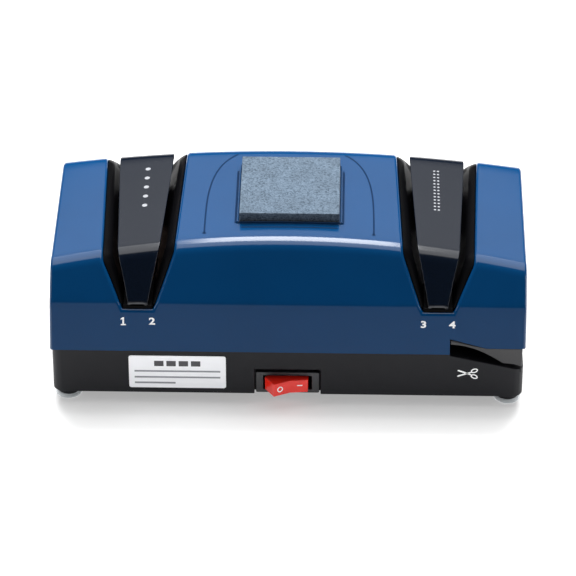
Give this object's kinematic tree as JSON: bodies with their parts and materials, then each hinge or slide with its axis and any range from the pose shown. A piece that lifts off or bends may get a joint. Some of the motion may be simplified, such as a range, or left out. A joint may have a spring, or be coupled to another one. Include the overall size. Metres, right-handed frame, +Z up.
{
  "type": "electric knife sharpener",
  "caption": "Mains-powered knife sharpener with coarse and fine grinding stations, a scissors slot, a rocker switch and a whetstone on top.",
  "frame": {"origin": "under the middle of the machine, on the surface it stands on", "axes": "+X to the user's right, +Y to the back, +Z up; the switch side faces -Y"},
  "size_m": [0.232, 0.1244, 0.0836],
  "materials": {
    "housing_blue": "gloss",
    "base_black": "fine texture",
    "liner_black": "satin",
    "hood_black": "gloss",
    "guide_black": "fine texture",
    "whetstone_grey": "fine grit",
    "adhesive_foam": "matt",
    "label_white": "matt",
    "foot_clear": "clear",
    "screw_zinc": "zinc plated",
    "gland_rubber": "matt",
    "switch_grey": "satin",
    "rocker_red": "gloss",
    "brass": "plain",
    "motor_steel": "zinc plated",
    "ferrite": "matt",
    "end_bell": "cast",
    "bearing_steel": "ground",
    "carbon": "matt",
    "damper_rubber": "matt",
    "cutout_black": "matt",
    "lamination": "stacked sheet",
    "copper_wire": "enamelled",
    "fan_plastic": "matt",
    "hub_aluminium": "turned",
    "coarse_grit": "coarse grit",
    "fine_grit": "fine grit",
    "board_green": "solder mask",
    "component_black": "matt",
    "capacitor_sleeve": "satin",
    "lead_brown": "satin",
    "lead_red": "satin"
  },
  "bodies": {
    "sharpener_body": {"upper_housing": "housing_blue", "base_shell": "base_black", "coarse_slot_liner": "liner_black", "coarse_wheel_hood": "hood_black", "fine_slot_liner": "liner_black", "fine_wheel_hood": "hood_black", "scissors_guide": "guide_black", "whetstone": "whetstone_grey", "whetstone_adhesive_pad": "adhesive_foam", "information_label": "label_white", "foot_front_left": "foot_clear", "foot_front_right": "foot_clear", "foot_rear_left": "foot_clear", "foot_rear_right": "foot_clear", "housing_screws": "screw_zinc", "hood_screws": "screw_zinc", "cord_gland": "gland_rubber", "switch_body": "switch_grey", "switch_terminals": "brass", "motor_can": "motor_steel", "field_magnets": "ferrite", "left_end_bell": "end_bell", "right_end_bell": "end_bell", "left_motor_bearing": "bearing_steel", "right_motor_bearing": "bearing_steel", "motor_tie_screws": "screw_zinc", "brush_holders": "brass", "carbon_brushes": "carbon", "brush_springs": "bearing_steel", "motor_dampers": "damper_rubber", "motor_straps": "motor_steel", "motor_strap_screws": "screw_zinc", "thermal_cutout": "cutout_black", "circuit_board": "board_green", "bridge_rectifier": "component_black", "board_capacitor": "capacitor_sleeve", "board_screws": "screw_zinc", "mains_leads": "lead_brown", "motor_leads": "lead_red"},
    "rotor": {"motor_shaft": "bearing_steel", "rotor_core": "lamination", "rotor_windings": "copper_wire", "commutator": "copper_wire", "cooling_fan": "fan_plastic", "shaft_collars": "bearing_steel", "coarse_wheel_hub": "hub_aluminium", "coarse_wheel": "coarse_grit", "fine_wheel_hub": "hub_aluminium", "fine_wheel": "fine_grit", "wheel_spacer": "hub_aluminium", "scissors_wheel_hub": "hub_aluminium", "scissors_wheel": "fine_grit", "wheel_washers": "screw_zinc", "wheel_nuts": "screw_zinc"},
    "rocker": {"switch_rocker": "rocker_red"}
  },
  "joints": [
    {"name": "rotor_spin", "type": "hinge", "parent": "sharpener_body", "child": "rotor", "pos_m": [0, 0, 0.042], "axis": [1, 0, 0], "continuous": true},
    {"name": "rocker_press", "type": "hinge", "parent": "sharpener_body", "child": "rocker", "pos_m": [0, -0.0536, 0.0123], "axis": [0, 0, -1], "range_deg": [0, 30]}
  ]
}
